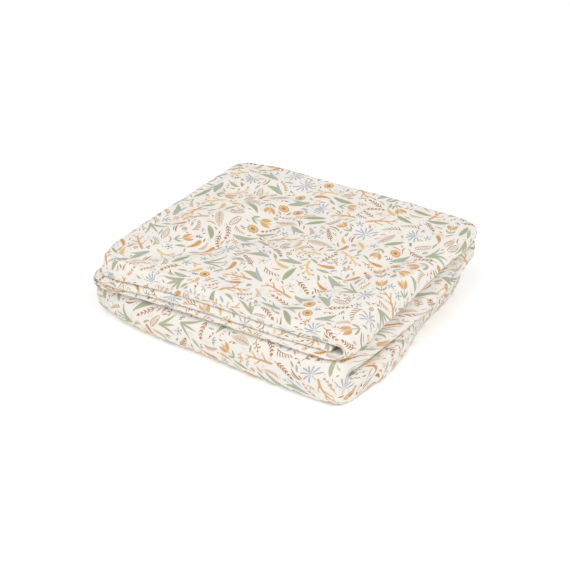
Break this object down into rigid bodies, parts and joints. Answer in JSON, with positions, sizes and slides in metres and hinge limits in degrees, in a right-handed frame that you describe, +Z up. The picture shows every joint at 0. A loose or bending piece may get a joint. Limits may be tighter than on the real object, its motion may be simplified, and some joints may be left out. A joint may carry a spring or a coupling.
{
  "type": "folded crib blanket",
  "caption": "Soft padded printed crib blanket, folded into thirds both ways so that it lies as a low stack of rounded layers with an open fold at one corner.",
  "frame": {"origin": "centre of the bounding box's base, on the surface the folded blanket rests on", "axes": "+Z up, +X along the longer folded side towards the wrapped end, -Y towards the side that shows the open fold"},
  "size_m": [0.3168, 0.2816, 0.0793],
  "materials": {
    "printed_jersey": "matte soft knit, ivory ground with a muted leaf and flower print on both faces"
  },
  "bodies": {
    "root": {"blanket": "printed_jersey"}
  },
  "joints": []
}
